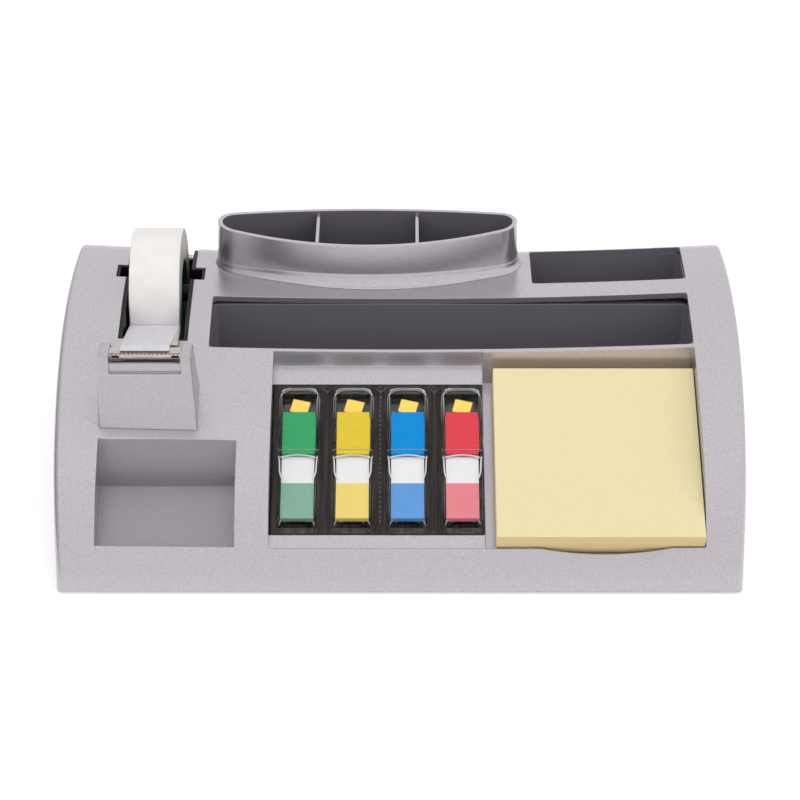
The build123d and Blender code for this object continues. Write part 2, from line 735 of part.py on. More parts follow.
def tape_tail():
    """Free end of the tape, from the roll to the blade, where it lies a little askew."""
    angle = radians(tail_leave_angle)
    reach = roll_radius + free_gap
    start = (axis_y - reach * cos(angle), axis_z + reach * sin(angle))
    level = block_top + free_gap
    bend = (blade_back + 1.0, level)
    end = (blade_back - blade_top_width + 0.5, level)
    rise = atan2(bend[1] - start[1], start[0] - bend[0])
    lift = tail_thickness
    over = [
        (end[0], end[1] + lift), (bend[0] + lift * tan(rise / 2), bend[1] + lift),
        (start[0] + lift * sin(rise), start[1] + lift * cos(rise)),
    ]
    outline = [(0, y, z) for y, z in (start, bend, end, *over)]
    wide = tape_width + 2 * tail_end_shift
    side_view = Pos(tape_centre_x - wide / 2, 0, 0) * extrude(
        make_face(Polyline(*outline, close=True)), wide, dir=(1, 0, 0))
    corners = []
    for y, shift in ((start[0] + 2, 0.0), (bend[0], tail_end_shift), (end[0] - 2, tail_end_shift)):
        corners.append((tape_centre_x + shift - tape_width / 2 + 0.4 * shift, y))
    for y, shift in ((end[0] - 2, tail_end_shift), (bend[0], tail_end_shift), (start[0] + 2, 0.0)):
        corners.append((tape_centre_x + shift + tape_width / 2 - 0.4 * shift, y))
    return side_view & extrude(make_face(Polyline(*corners, close=True)), above + 20)


# ---- pad and flags ----
def note_pad():
    pad_x = (recess_x[1] - pad_side_gap - pad_size, recess_x[1] - pad_side_gap)
    lift = fit_gap
    lean = (pad_lip_height - lift / cos(radians(pad_tilt))) * tan(radians(pad_tilt))
    start = recess_front + free_gap + lean
    corner = Pos(0, start, recess_floor(start)) * Rot(pad_tilt, 0, 0)
    block = Box(pad_size, pad_size, pad_height, align=(Align.MIN, Align.MIN, Align.MIN))
    return corner * Pos(pad_x[0], 0, lift) * block


def flag_middle(ends):
    return (ends[0] + ends[1]) / 2


def flag_tray():
    """Thin black tray with a shallow trough under each dispenser."""
    length = flag_seat[1] - flag_seat[0] - 2 * free_gap
    width = flag_bay[1] - flag_bay[0] - 2 * free_gap
    depth = flag_seat_depth - fit_gap
    hang = (Align.CENTER, Align.CENTER, Align.MAX)
    tray = Box(width, length, depth, align=hang)
    hollow = Box(width - 2 * flag_tray_wall, length - 2 * flag_tray_wall, depth, align=hang)
    tray -= Pos(0, 0, -flag_tray_wall) * hollow
    tray = flag_place(flag_middle(flag_bay), flag_middle(flag_seat), 0) * tray
    trough_width = flag_cover_width - 2 * flag_trough_wall
    trough_length = flag_cover_ends[1] - flag_cover_ends[0] - 4
    for index in range(flag_count):
        place = flag_place(flag_first_x + index * flag_pitch, flag_middle(flag_cover_ends), 0)
        lining = Box(trough_width + 2 * flag_trough_wall, trough_length + 2 * flag_trough_wall,
                     flag_trough_depth + flag_trough_wall, align=hang)
        trough = Box(trough_width, trough_length, 2 * flag_trough_depth)
        tray = tray + place * lining - place * trough
    return tray


def flag_cover(index):
    """Clear cover: domed box with a slot for the flags, ribs beside its window and a mouth."""
    length = flag_cover_ends[1] - flag_cover_ends[0]
    middle = flag_middle(flag_cover_ends)

    def dome(inset):
        outline = RectangleRounded(flag_cover_width - 2 * inset, length - 2 * inset, flag_cover_corner - inset)
        return extrude(outline, flag_cover_height - inset, taper=flag_cover_taper)

    cover = dome(0.0) - dome(flag_cover_wall)
    upright = (Align.CENTER, Align.CENTER, Align.MIN)
    rib_base = flag_cover_height - 0.1
    lip_bottom = flag_slot_ends[0] - middle
    half = flag_width / 2 + flag_rib_width
    rib_length = flag_slot_ends[0] - flag_rib_end
    for side in (-1, 1):
        rib = Box(flag_rib_width, rib_length, 0.1 + flag_rib_height, align=upright)
        cover += Pos(side * (half - flag_rib_width), lip_bottom - rib_length / 2, rib_base) * rib
    upper = flag_slot_ends[1] - middle
    bar = Box(2 * half, flag_rib_width, 0.1 + flag_rib_height / 2, align=upright)
    cover += Pos(0, upper + flag_rib_width / 2, rib_base) * bar
    slot = Pos(0, (lip_bottom + upper) / 2, rib_base) * Box(
        flag_width + 0.6, upper - lip_bottom, 4 * flag_cover_wall)
    lip_radius = ((flag_width / 2) ** 2 + flag_lip_bulge ** 2) / (2 * flag_lip_bulge)
    lip = Pos(0, lip_bottom + flag_lip_bulge - lip_radius, rib_base) * Cylinder(lip_radius, 8 * flag_cover_wall)
    cover -= slot - lip
    mouth = extrude(Ellipse(flag_mouth[0] / 2, flag_mouth[1] / 2), flag_cover_height, both=True)
    cover -= Pos(0, flag_mouth_place - length / 2, flag_cover_height) * mouth
    return flag_place(flag_first_x + index * flag_pitch, middle, flag_cover_lift) * cover


def flag_stack(index):
    """Pack of folded flags under the cover, and the flag that sticks out of the slot and lies on the cover."""
    x = flag_first_x + index * flag_pitch
    low = (Align.CENTER, Align.CENTER, Align.MIN)
    under = flag_cover_height - flag_cover_wall
    pack = flag_place(x, flag_middle(flag_ends), under - flag_stack_height) * Box(
        flag_width, flag_ends[1] - flag_ends[0], flag_stack_height, align=low)
    on_top = flag_cover_lift + flag_cover_height + flag_rib_height
    start = flag_slot_ends[1] - 1.2
    film = Box(flag_width, flag_ends[1] - start, flag_film, align=low)
    link = Box(flag_width, flag_film, on_top - under + 2 * flag_film, align=low)
    return (pack + flag_place(x, (start + flag_ends[1]) / 2, on_top) * film
            + flag_place(x, start + flag_film / 2, under - flag_film) * link)


def housing():
    slot_top = arch_height(sum(slot_y) / 2)
    rear_top = arch_height(rear_tray_y[0])
    shell = arch - arch_inside
    pockets = ((slot_x, slot_y, slot_top), (rear_tray_x, rear_tray_y, rear_top))
    walls = recess_shell()
    for x, y, top in pockets:
        walls += tapered_pocket(x, y, (pocket_floor - wall, top), wall)
    walls += front_tray(wall)
    walls += well_shell()
    walls += screw_bosses()
    shell += walls & arch
    for x, y, top in pockets:
        mouth = Pos(sum(x) / 2, sum(y) / 2, top) * RectangleRounded(x[1] - x[0], y[1] - y[0], pocket_corner)
        shell -= tapered_pocket(x, y, (pocket_floor, top)) + extrude(mouth, 2 * beyond)
    shell -= front_tray()
    shell -= recess_cut()
    shell -= thumb_cut()
    shell -= well_cut()
    shell -= oval_solid(0, above, fit_gap)
    shell -= drawer_mouth(free_gap)
    shell -= block_opening(fit_gap)
    for x, y in screw_places:
        shell -= Pos(x, y, 0) * Cylinder(screw_radius + 0.05, 2 * (screw_length + 4))
    return shell


pieces = {
    "housing": housing,
    "base_plate": base_plate,
    "ballast_weight": ballast_weight,
    "base_screws": base_screws,
    "feet": feet,
    "well_liner": well_liner,
    "roll_axle": roll_axle,
    "roll_hub": roll_hub,
    "tape_core": tape_core,
    "tape_roll": tape_roll,
    "tape_tail": tape_tail,
    "cutter_block": cutter_block,
    "cutter_blade": cutter_blade,
    "pen_cup": pen_cup,
    "note_pad": note_pad,
    "flag_tray": flag_tray,
    "drawer": drawer,
    "drawer_front": drawer_front,
}

os.makedirs("parts", exist_ok=True)
for name, make in pieces.items():
    export_step(Pos(0, 0, foot_height) * make(), f"parts/{name}.step")
for index in range(flag_count):
    export_step(Pos(0, 0, foot_height) * flag_cover(index), f"parts/flag_cover_{index + 1}.step")
    export_step(Pos(0, 0, foot_height) * flag_stack(index), f"parts/flag_stack_{index + 1}.step")
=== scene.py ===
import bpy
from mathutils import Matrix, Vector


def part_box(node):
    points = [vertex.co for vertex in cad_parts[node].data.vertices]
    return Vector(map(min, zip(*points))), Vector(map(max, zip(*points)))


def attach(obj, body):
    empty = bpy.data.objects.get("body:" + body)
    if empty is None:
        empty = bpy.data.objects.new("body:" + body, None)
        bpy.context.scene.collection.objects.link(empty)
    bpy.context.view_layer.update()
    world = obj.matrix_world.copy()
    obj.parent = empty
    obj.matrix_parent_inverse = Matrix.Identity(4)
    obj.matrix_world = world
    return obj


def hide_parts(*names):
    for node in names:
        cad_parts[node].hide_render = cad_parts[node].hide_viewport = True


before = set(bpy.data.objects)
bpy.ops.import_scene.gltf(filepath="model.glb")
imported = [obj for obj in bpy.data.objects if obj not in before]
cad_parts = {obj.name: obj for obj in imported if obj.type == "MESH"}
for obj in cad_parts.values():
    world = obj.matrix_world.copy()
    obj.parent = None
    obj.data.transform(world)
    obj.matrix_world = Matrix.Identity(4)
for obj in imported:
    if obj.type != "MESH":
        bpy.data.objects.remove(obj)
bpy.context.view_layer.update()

import math
import random

import bmesh
import bpy
from mathutils import Matrix, Vector

mm = 0.001
softBlend = (0.35, 0.65)      # stops of a colour ramp over noise, which seldom leaves this range
wideBlend = (0.3, 0.7)        # the same with a gentler change between its two tones


def srgb(hexText):  # sRGB hex to the linear colour that Blender works in
    parts = [int(hexText[i:i + 2], 16) / 255 for i in (1, 3, 5)]
    return tuple(c / 12.92 if c <= 0.04045 else ((c + 0.055) / 1.055) ** 2.4 for c in parts) + (1.0,)


def addNode(tree, kind, values=None, links=None, stops=(), **settings):
    # one node with its settings, socket values, links and, on a colour ramp, its two stops
    node = tree.nodes.new(kind)
    for name, value in settings.items():
        setattr(node, name, value)
    for socket, value in (values or {}).items():
        node.inputs[socket].default_value = value
    for socket, source in (links or {}).items():
        tree.links.new(source, node.inputs[socket])
    for index, (position, tone) in enumerate(stops):
        node.color_ramp.elements[index].position = position
        node.color_ramp.elements[index].color = srgb(tone)
    return node


def newMaterial(name):
    material = bpy.data.materials.new(name)
    material.use_nodes = True
    material.node_tree.nodes.clear()
    return material, material.node_tree


def slopeMatrix(origin, tiltDegrees):  # local y runs up the slope, local z stands square to it, all in mm
    place = Matrix.Translation(Vector(origin) * mm)
    return place @ Matrix.Rotation(math.radians(tiltDegrees), 4, "X") @ Matrix.Scale(mm, 4)


def makeObject(name, bm, materials, body, replaced=(), smooth=False):
    mesh = bpy.data.meshes.new(name)
    bmesh.ops.recalc_face_normals(bm, faces=bm.faces)
    bm.to_mesh(mesh)
    bm.free()
    piece = bpy.data.objects.new(name, mesh)
    bpy.context.scene.collection.objects.link(piece)
    for material in materials:
        mesh.materials.append(material)
    if smooth:
        mesh.polygons.foreach_set("use_smooth", [True] * len(mesh.polygons))
    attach(piece, body)
    if replaced:
        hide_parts(*replaced)


def addSlab(bm, low, high, matrix, material=0, turn=0.0):  # block between two corners, turned on its middle
    size = [b - a for a, b in zip(low, high)]
    middle = Vector([(a + b) / 2 for a, b in zip(low, high)])
    turned = Matrix.Rotation(math.radians(turn), 4, "Z") @ Matrix.Diagonal((*size, 1))
    made = bmesh.ops.create_cube(bm, size=1.0, matrix=matrix @ Matrix.Translation(middle) @ turned)
    for face in {face for vert in made["verts"] for face in vert.link_faces}:
        face.material_index = material


def addBead(bm, points, radii, matrix, material=0, sides=8):  # round bead along a line of points
    path = [Vector(p) for p in points]
    rings = []
    for i, point in enumerate(path):
        ahead = path[min(i + 1, len(path) - 1)] - path[max(i - 1, 0)]
        side = ahead.normalized().cross(Vector((0, 0, 1))).normalized()
        up = side.cross(ahead.normalized())
        angles = [2 * math.pi * k / sides for k in range(sides)]
        rings.append([bm.verts.new(matrix @ (point + (side * math.cos(a) + up * math.sin(a)) * radii[i]))
                      for a in angles])
    for first, second in zip(rings, rings[1:]):
        for k in range(sides):
            j = (k + 1) % sides
            bm.faces.new((first[k], first[j], second[j], second[k])).material_index = material
    for ring in (rings[0][::-1], rings[-1]):
        bm.faces.new(ring).material_index = material


def addPrism(bm, lower, upper):  # solid between two outlines of equal count
    bm.faces.new(lower[::-1])
    bm.faces.new(upper)
    for i in range(len(lower)):
        j = (i + 1) % len(lower)
        bm.faces.new((lower[i], lower[j], upper[j], upper[i]))


# camera, at the photograph's angle
cameraSettings = {
    "place": (1.69, -867.93, 537.16),  # mm
    "pitchDown": 30.0,
    "yaw": 0.11,
    "roll": -0.028,
    "lens": 117.0,
    "sensor": 36.0,
    "clip": (0.05, 20),                # m
}


def makeCamera(s):
    data = bpy.data.cameras.new("camera")
    data.lens = s["lens"]
    data.sensor_width = s["sensor"]
    data.sensor_fit = "HORIZONTAL"
    data.clip_start, data.clip_end = s["clip"]
    camera = bpy.data.objects.new("camera", data)
    bpy.context.scene.collection.objects.link(camera)
    turns = ((s["yaw"], "Z"), (90 - s["pitchDown"], "X"), (s["roll"], "Z"))
    camera.matrix_world = Matrix.Translation(Vector(s["place"]) * mm)
    for angle, axis in turns:
        camera.matrix_world = camera.matrix_world @ Matrix.Rotation(math.radians(angle), 4, axis)
    bpy.context.scene.camera = camera


makeCamera(cameraSettings)
print("camera set")

# white paper floor and soft studio light
studio = {
    "floorSize": 6.0,
    "floorTone": "#F4F4F4",
    "floorRoughness": 0.6,
    "floorGlow": 0.35,                # lifts the paper to white for what sees it, and leaves the shadow
    "floorFade": (0.6, 1.2),          # m from the middle: where the glow starts to grow, and where it is full
    "worldFill": 0.42,
    "darkSide": (-0.95, -0.2, 0.3),   # in gloss, the room darkens to the left: from, to, and how dark
    "aim": (0, 0, 0.04),
    "topLight": (0.0, -0.15, 1.25, 1.3, 1.0, 8.2),     # x, y, z, width, depth, watts
    "leftLight": (-1.3, -0.7, 0.75, 0.9, 0.9, 2.0),
    "rightLight": (1.3, -0.7, 0.75, 0.9, 0.9, 3.9),
    "frontLight": (0.0, -1.7, 0.8, 1.6, 0.8, 3.0),
}


def sightRays(tree):  # 1 for rays that look at the backdrop, straight or through clear plastic; 1 in gloss
    rays = addNode(tree, "ShaderNodeLightPath")
    seen = addNode(tree, "ShaderNodeMath", None, {
        0: rays.outputs["Is Camera Ray"], 1: rays.outputs["Is Transmission Ray"]}, operation="MAXIMUM")
    return seen.outputs[0], rays.outputs["Is Glossy Ray"]


def makeWorld(s):  # white where it is seen, a soft fill elsewhere, and darker to the left in gloss
    world = bpy.data.worlds.new("studio")
    bpy.context.scene.world = world
    world.use_nodes = True
    tree = world.node_tree
    tree.nodes.clear()
    white = {"Color": srgb("#FFFFFF")}
    fill = addNode(tree, "ShaderNodeBackground", {**white, "Strength": s["worldFill"]})
    bright = addNode(tree, "ShaderNodeBackground", {**white, "Strength": 1.0})
    seen, gloss = sightRays(tree)
    low, high, dark = s["darkSide"]
    place = addNode(tree, "ShaderNodeTexCoord")
    sides = addNode(tree, "ShaderNodeSeparateXYZ", None, {0: place.outputs["Generated"]})
    fade = addNode(tree, "ShaderNodeMapRange", {
        "From Min": low, "From Max": high, "To Min": dark, "To Max": 1.0}, {"Value": sides.outputs["X"]})
    room = addNode(tree, "ShaderNodeBackground", white, {"Strength": fade.outputs["Result"]})
    unseen = addNode(tree, "ShaderNodeMixShader", None, {0: gloss, 1: fill.outputs[0], 2: room.outputs[0]})
    both = addNode(tree, "ShaderNodeMixShader", None, {0: seen, 1: unseen.outputs[0], 2: bright.outputs[0]})
    addNode(tree, "ShaderNodeOutputWorld", None, {"Surface": both.outputs[0]})


def seamlessPaper(s):  # matt studio paper, even and almost white
    material, tree = newMaterial("seamlessWhitePaper")
    matt = addNode(tree, "ShaderNodeBsdfDiffuse", {
        "Color": srgb(s["floorTone"]), "Roughness": s["floorRoughness"]})
    near, far = s["floorFade"]
    place = addNode(tree, "ShaderNodeTexCoord")
    away = addNode(tree, "ShaderNodeVectorMath", None, {0: place.outputs["Object"]}, operation="LENGTH")
    fade = addNode(tree, "ShaderNodeMapRange", {
        "From Min": near, "From Max": far, "To Min": s["floorGlow"], "To Max": 1.0},
        {"Value": away.outputs["Value"]})
    glow = addNode(tree, "ShaderNodeEmission", {"Color": srgb("#FFFFFF")},
                   {"Strength": fade.outputs["Result"]})
    lit = addNode(tree, "ShaderNodeAddShader", None, {0: matt.outputs[0], 1: glow.outputs[0]})
    seen, gloss = sightRays(tree)
    bright = addNode(tree, "ShaderNodeMath", None, {0: seen, 1: gloss}, operation="MAXIMUM")
    both = addNode(tree, "ShaderNodeMixShader", None, {
        0: bright.outputs[0], 1: matt.outputs[0], 2: lit.outputs[0]})
    addNode(tree, "ShaderNodeOutputMaterial", None, {"Surface": both.outputs[0]})
    return material


def makeStudio(s):
    scene = bpy.context.scene
    scene.view_settings.view_transform = "Standard"
    makeWorld(s)

    bm = bmesh.new()
    half = s["floorSize"] / 2
    corners = ((-half, -half, 0), (half, -half, 0), (half, half, 0), (-half, half, 0))
    bm.faces.new([bm.verts.new(corner) for corner in corners])
    mesh = bpy.data.meshes.new("floor")
    bm.to_mesh(mesh)
    bm.free()
    floor = bpy.data.objects.new("floor", mesh)
    scene.collection.objects.link(floor)
    mesh.materials.append(seamlessPaper(s))

    for name in ("topLight", "leftLight", "rightLight", "frontLight"):
        x, y, z, width, depth, watts = s[name]
        data = bpy.data.lights.new(name, "AREA")
        data.shape = "RECTANGLE"
        data.size = width
        data.size_y = depth
        data.energy = watts
        lamp = bpy.data.objects.new(name, data)
        scene.collection.objects.link(lamp)
        lamp.location = (x, y, z)
        lamp.visible_glossy = False  # the paint mirrors the white room and not the lamps
        lamp.rotation_euler = (Vector(s["aim"]) - lamp.location).to_track_quat("-Z", "Y").to_euler()


makeStudio(studio)
print("studio set")

# silver paint on moulded ABS: a soft sheen with fine glitter; pockets and cup are dark grey inside: unpainted
# plastic, with painted shade of the hollows in its colour
silver = {
    "pigment": ("#BAB4BB", "#C9C4CA"),        # the two tones of the flakes
    "blockPigment": ("#B0AAB1", "#BEB9BF"),   # the cutter block is a shade darker
    "bare": "#75727A",                        # dark grey: unpainted plastic, which the paint doesn't reach, darkened further as painted shade of the hollows
    "metallic": 0.8,
    "roughness": 0.26,
    "flakeMm": 0.5,                           # real flakes are about 0.05 mm, drawn coarser so that they show
    "grainMm": 0.4,                           # spark-eroded mould grain
    "grainBump": (0.12, 0.02),                # strength, and height in mm
    "edgeMm": 0.5,                            # moulded edges are never sharp: the rounding catches light
    "pockets": (                              # x from, x to, y from, y to in mm, and how far it turns to the dark grey
        (-72.8, 111.6, -1.3, 29.2, 1.0),      # long slot
        (51.8, 112.0, 39.2, 67.0, 1.0),       # rear tray
        (-111.4, -60.5, -73.6, -43.3, 0.62),  # the shallow tray in front: painted shade, part way to the dark grey
    ),
    "cupCentre": (-12.85, 56.6),
    "cupHalfLength": 57.9,
    "cupSideRadius": 167.3,                   # of the long arcs of its inner oval
    "cupSideCentre": 151.5,                   # from the middle of the cup to their centres
    "cupSlack": 0.35,                         # the test reaches just into the wall
    "cupTurn": 66.5,                          # height over which the walls draw in
    "cupDraft": 2.0,                          # degrees
    "rimAbove": 60.0,                         # the rim and the dividers' top edges lie over this height
    "rimFacing": 0.7,                         # and face up at least so much
}


def bareInBox(tree, axes, pocket):  # how far it turns to the dark grey (unpainted plastic and painted shade) inside the upright pocket, 0 outside
    x0, x1, y0, y1 = [v * mm for v in pocket[:4]]
    limits = (("X", "GREATER_THAN", x0), ("X", "LESS_THAN", x1),
              ("Y", "GREATER_THAN", y0), ("Y", "LESS_THAN", y1))
    test = None
    for axis, operation, limit in limits:
        side = addNode(tree, "ShaderNodeMath", {1: limit}, {0: axes.outputs[axis]}, operation=operation)
        if test:
            side = addNode(tree, "ShaderNodeMath", None, {
                0: test.outputs[0], 1: side.outputs[0]}, operation="MULTIPLY")
        test = side
    share = addNode(tree, "ShaderNodeMath", {1: pocket[4]}, {0: test.outputs[0]}, operation="MULTIPLY")
    return share.outputs[0]


def bareInPockets(tree, place, s):
    axes = addNode(tree, "ShaderNodeSeparateXYZ", None, {0: place.outputs["Object"]})
    most = None
    for pocket in s["pockets"]:
        test = bareInBox(tree, axes, pocket)
        if most:
            test = addNode(tree, "ShaderNodeMath", None, {0: most, 1: test}, operation="MAXIMUM").outputs[0]
        most = test
    return most


def bareInCup(tree, place, s):  # dark grey (unpainted plastic and painted shade) inside the inner oval, but not on the rim and the dividers' top edges
    axes = addNode(tree, "ShaderNodeSeparateXYZ", None, {0: place.outputs["Object"]})
    rise = addNode(tree, "ShaderNodeMath", {1: s["cupTurn"] * mm}, {0: axes.outputs["Z"]},
                   operation="SUBTRACT")
    above = addNode(tree, "ShaderNodeMath", {1: 0.0}, {0: rise.outputs[0]}, operation="MAXIMUM")
    flat = addNode(tree, "ShaderNodeVectorMath", {1: (1, 1, 0)}, {0: place.outputs["Object"]},
                   operation="MULTIPLY")
    x, y = s["cupCentre"]
    distances = []
    for side in (1, -1):              # the two long arcs
        centre = (x * mm, (y + side * s["cupSideCentre"]) * mm, 0)
        away = addNode(tree, "ShaderNodeVectorMath", {1: centre}, {0: flat.outputs[0]}, operation="DISTANCE")
        distances.append((away.outputs["Value"], s["cupSideRadius"]))
    across = addNode(tree, "ShaderNodeMath", {1: x * mm}, {0: axes.outputs["X"]}, operation="SUBTRACT")
    span = addNode(tree, "ShaderNodeMath", None, {0: across.outputs[0]}, operation="ABSOLUTE")
    distances.append((span.outputs[0], s["cupHalfLength"]))
    inside = None
    for distance, reach in distances:
        drawn = addNode(tree, "ShaderNodeMath", {1: math.tan(math.radians(s["cupDraft"]))},
                        {0: above.outputs[0], 2: distance}, operation="MULTIPLY_ADD")
        near = addNode(tree, "ShaderNodeMath", {1: (reach + s["cupSlack"]) * mm}, {0: drawn.outputs[0]},
                       operation="LESS_THAN")
        if inside:
            near = addNode(tree, "ShaderNodeMath", None, {
                0: inside.outputs[0], 1: near.outputs[0]}, operation="MULTIPLY")
        inside = near
    facing = addNode(tree, "ShaderNodeNewGeometry")
    normal = addNode(tree, "ShaderNodeSeparateXYZ", None, {0: facing.outputs["True Normal"]})
    high = addNode(tree, "ShaderNodeMath", {1: s["rimAbove"] * mm}, {0: axes.outputs["Z"]},
                   operation="GREATER_THAN")
    up = addNode(tree, "ShaderNodeMath", {1: s["rimFacing"]}, {0: normal.outputs["Z"]},
                 operation="GREATER_THAN")
    rim = addNode(tree, "ShaderNodeMath", None, {0: high.outputs[0], 1: up.outputs[0]}, operation="MULTIPLY")
    wall = addNode(tree, "ShaderNodeMath", {0: 1.0}, {1: rim.outputs[0]}, operation="SUBTRACT")
    bare = addNode(tree, "ShaderNodeMath", None, {0: inside.outputs[0], 1: wall.outputs[0]},
                   operation="MULTIPLY")
    return bare.outputs[0]


def silverPaintedAbs(s, name, pigment, bareMask=None):
    material, tree = newMaterial(name)
    place = addNode(tree, "ShaderNodeTexCoord")
    flakes = addNode(tree, "ShaderNodeTexNoise", {
        "Scale": 1 / (s["flakeMm"] * mm), "Detail": 2.0, "Roughness": 0.6},
        {"Vector": place.outputs["Object"]})
    ramp = addNode(tree, "ShaderNodeValToRGB", None, {"Fac": flakes.outputs["Fac"]},
                   zip(softBlend, pigment))
    grain = addNode(tree, "ShaderNodeTexNoise", {
        "Scale": 1 / (s["grainMm"] * mm), "Detail": 3.0}, {"Vector": place.outputs["Object"]})
    rounded = addNode(tree, "ShaderNodeBevel", {"Radius": s["edgeMm"] * mm}, samples=6)
    strength, height = s["grainBump"]
    bump = addNode(tree, "ShaderNodeBump", {"Strength": strength, "Distance": height * mm},
                   {"Height": grain.outputs["Fac"], "Normal": rounded.outputs["Normal"]})
    values = {"Roughness": s["roughness"], "IOR": 1.5, "Metallic": s["metallic"]}
    links = {"Normal": bump.outputs["Normal"], "Base Color": ramp.outputs["Color"]}
    # the dark grey mixed in here is unpainted plastic, darkened further as painted shade of the hollows
    if bareMask:
        mask = bareMask(tree, place, s)
        mixed = addNode(tree, "ShaderNodeMix", {7: srgb(s["bare"])}, {0: mask, 6: ramp.outputs["Color"]},
                        data_type="RGBA")
        sheen = addNode(tree, "ShaderNodeMath", {1: -s["metallic"], 2: s["metallic"]}, {0: mask},
                        operation="MULTIPLY_ADD")
        links["Base Color"] = mixed.outputs[2]
        links["Metallic"] = sheen.outputs[0]
    shader = addNode(tree, "ShaderNodeBsdfPrincipled", values, links)
    addNode(tree, "ShaderNodeOutputMaterial", None, {"Surface": shader.outputs[0]})
    return material


silverHousing = silverPaintedAbs(silver, "silverPaintedAbsHousing", silver["pigment"], bareInPockets)
silverCup = silverPaintedAbs(silver, "silverPaintedAbsCup", silver["pigment"], bareInCup)
silverPlain = silverPaintedAbs(silver, "silverPaintedAbs", silver["pigment"])
silverBlock = silverPaintedAbs(silver, "silverPaintedAbsBlock", silver["blockPigment"])
print("silver paint mixed")

# the other finishes: two tones of one colour, roughness, IOR (none for metals), and the pattern's size and
# height in mm
finishes = {
    "mouldedBlackAbs": ("#0C0C0D", "#151516", 0.45, 1.54, 0.5, 0.02),    # deep black with a faint sheen
    "mouldedGreyAbs": ("#4A494D", "#545256", 0.5, 1.54, 0.6, 0.03),      # unpainted inner parts
    "mouldedRubber": ("#151515", "#212121", 0.85, 1.52, 0.5, 0.04),      # dull, slightly dusty
    "greenPolystyrene": ("#0F4A37", "#145A44", 0.28, 1.59, 2.0, 0.01),   # smooth glossy core ring
    "mattFilmEnd": ("#D1CFD6", "#DCDAE0", 0.38, 1.48, 3.0, 0.02),        # milky film, a little bluish
    "zincPlatedSteel": ("#A8A9AC", "#BDBEC0", 0.35, None, 0.5, 0.01),    # cool bright screws
    "hotRolledSteel": ("#55565A", "#6E6F73", 0.5, None, 2.0, 0.02),      # dark scale on the hidden weight
    "scoredPvcEdge": ("#6A6567", "#857F81", 0.4, 1.53, 0.5, 0.01),       # whitened where the sheet is cut
}
fineGrain = {"detail": 3.0, "bump": 0.3, "edgeMm": 0.3, "shine": 0.3}    # the grain takes some shine away


def plainFinish(s, name, dark, light, roughness, ior, grainMm, bumpMm):  # even surface with a fine grain
    material, tree = newMaterial(name)
    place = addNode(tree, "ShaderNodeTexCoord")
    grain = addNode(tree, "ShaderNodeTexNoise", {
        "Scale": 1 / (grainMm * mm), "Detail": s["detail"]}, {"Vector": place.outputs["Object"]})
    colour = addNode(tree, "ShaderNodeValToRGB", None, {"Fac": grain.outputs["Fac"]},
                     zip(softBlend, (dark, light)))
    rounded = addNode(tree, "ShaderNodeBevel", {"Radius": s["edgeMm"] * mm}, samples=4)
    bump = addNode(tree, "ShaderNodeBump", {"Strength": s["bump"], "Distance": bumpMm * mm},
                   {"Height": grain.outputs["Fac"], "Normal": rounded.outputs["Normal"]})
    kind = {"IOR": ior, "Specular IOR Level": s["shine"]} if ior else {"Metallic": 1.0}
    shader = addNode(tree, "ShaderNodeBsdfPrincipled", {"Roughness": roughness, **kind},
                     {"Base Color": colour.outputs["Color"], "Normal": bump.outputs["Normal"]})
    addNode(tree, "ShaderNodeOutputMaterial", None, {"Surface": shader.outputs[0]})
    return material


finish = {name: plainFinish(fineGrain, name, *values) for name, values in finishes.items()}

# stamped strip steel: bright, warm, with fine rolling lines along the blade
blade = {
    "tones": ("#B6A79F", "#DCD0CA"),
    "roughness": 0.3,
    "lineMm": 0.25,
    "lineLengthMm": 6.0,
    "bump": (0.3, 0.01),      # strength, and height in mm
}


def brushedSteel(name, s):
    material, tree = newMaterial(name)
    place = addNode(tree, "ShaderNodeTexCoord")
    fine = 1 / (s["lineMm"] * mm)
    stretch = addNode(tree, "ShaderNodeMapping", {"Scale": (1 / (s["lineLengthMm"] * mm), fine, fine)},
                      {"Vector": place.outputs["Object"]})
    lines = addNode(tree, "ShaderNodeTexNoise", {"Scale": 1.0, "Detail": 3.0}, {"Vector": stretch.outputs[0]})
    colour = addNode(tree, "ShaderNodeValToRGB", None, {"Fac": lines.outputs["Fac"]},
                     zip(wideBlend, s["tones"]))
    strength, height = s["bump"]
    bump = addNode(tree, "ShaderNodeBump", {"Strength": strength, "Distance": height * mm},
                   {"Height": lines.outputs["Fac"]})
    shader = addNode(tree, "ShaderNodeBsdfPrincipled", {"Roughness": s["roughness"], "Metallic": 1.0},
                     {"Base Color": colour.outputs["Color"], "Normal": bump.outputs["Normal"]})
    addNode(tree, "ShaderNodeOutputMaterial", None, {"Surface": shader.outputs[0]})
    return material


bladeSteel = brushedSteel("stampedStripSteel", blade)

# wound tape: matt white on its face, grey-beige on its sides, where the edges of the windings show as rings
tapeRoll = {
    "face": ("#EEEAE7", "#F3F0ED"),
    "sides": ("#A9A49E", "#C9C4BD"),
    "ringMm": 0.55,           # a winding is 0.05 mm, and rings this coarse still show
    "ringBump": (0.5, 0.05),  # strength, and height in mm
    "cloudMm": 6.0,           # the film lies a little unevenly
    "axis": (45.5, 59.0),     # y and z of the roll's middle, mm
    "sideFacing": 0.9,        # what faces sideways at least so much is a side
    "roughness": 0.5,
}


